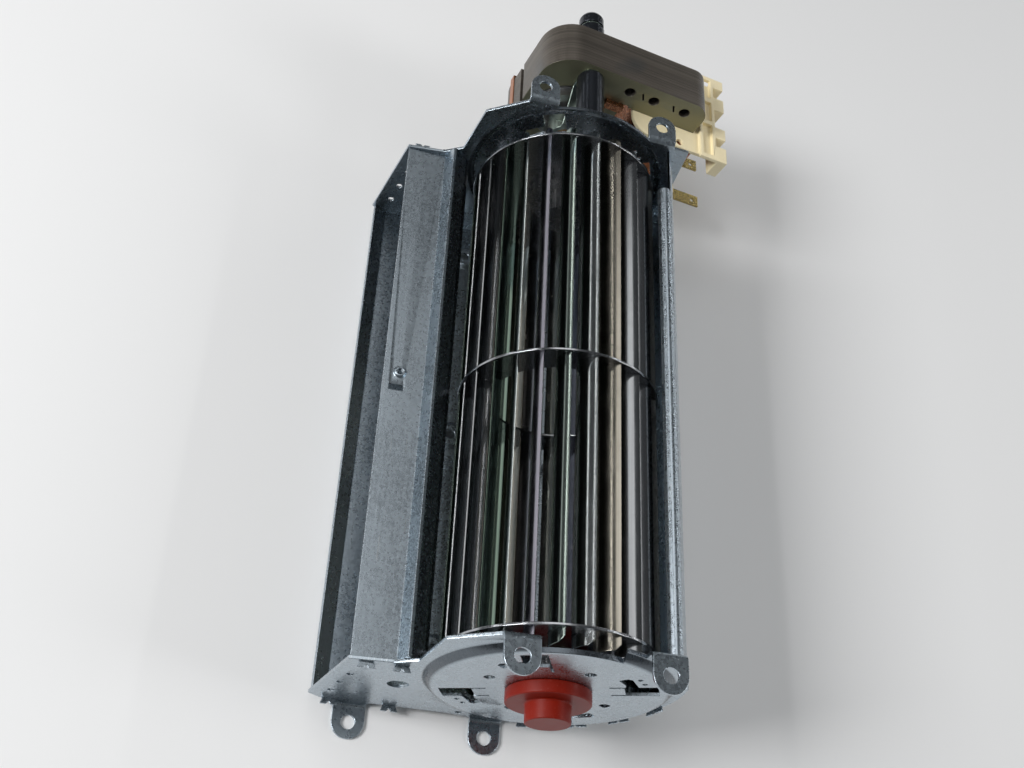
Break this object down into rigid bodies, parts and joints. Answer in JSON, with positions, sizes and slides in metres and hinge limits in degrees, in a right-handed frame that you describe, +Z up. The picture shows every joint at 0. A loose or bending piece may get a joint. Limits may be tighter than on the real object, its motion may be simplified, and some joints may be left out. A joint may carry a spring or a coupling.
{
  "type": "tangential cooling fan",
  "caption": "Tangential blower: bladed drum in a folded sheet-metal scroll between two side plates with fixing ears, driven by a shaded-pole motor on one end.",
  "frame": {"origin": "middle of the four foot holes, in the plane that the underside of the feet lies in", "axes": "+X along the wheel axis towards the motor, +Y towards the air outlet, +Z up out of the air inlet"},
  "size_m": [0.2499, 0.1211, 0.0765],
  "materials": {
    "galvanised_steel": "galvanised sheet steel, fine spangle",
    "red_silicone": "red silicone rubber, satin",
    "sintered_bronze": "oil-filled sintered bronze",
    "shaft_steel": "turned bright steel",
    "wheel_sheet": "bright aluminised sheet steel",
    "blackened_steel": "black oxide",
    "rotor_metal": "laminated steel with cast aluminium rings, turned",
    "lamination_steel": "stamped electrical sheet, dark oxide",
    "cream_plastic": "natural glass-filled nylon",
    "copper_wire": "enamelled copper",
    "terminal_brass": "bright brass"
  },
  "bodies": {
    "housing": {"bearing_side_plate": "galvanised_steel", "motor_side_plate": "galvanised_steel", "scroll_wall": "galvanised_steel", "outlet_wall": "galvanised_steel", "bearing_bush": "red_silicone", "bush_sleeve": "sintered_bronze", "stator_stack": "lamination_steel", "coil_leg": "lamination_steel", "coil_bobbin": "cream_plastic", "coil_winding": "copper_wire", "shading_rings": "copper_wire", "spade_terminals": "terminal_brass", "front_bridge": "galvanised_steel", "rear_bridge": "galvanised_steel", "front_bearing": "sintered_bronze", "rear_bearing": "sintered_bronze", "bearing_retainers": "galvanised_steel", "spacer_posts": "blackened_steel", "rear_columns": "blackened_steel", "motor_screws": "shaft_steel", "domed_nuts": "blackened_steel"},
    "rotor": {"stub_shaft": "shaft_steel", "end_disc_bearing": "wheel_sheet", "middle_ring": "wheel_sheet", "end_disc_motor": "wheel_sheet", "impeller_blades": "wheel_sheet", "wheel_hub": "shaft_steel", "hub_set_screw": "blackened_steel", "rotor_shaft": "shaft_steel", "rotor_core": "rotor_metal", "thrust_washers": "sintered_bronze"}
  },
  "joints": [
    {"name": "impeller_spin", "type": "hinge", "parent": "housing", "child": "rotor", "pos_m": [0, -0.0274, 0.042], "axis": [1, 0, 0], "continuous": true}
  ]
}
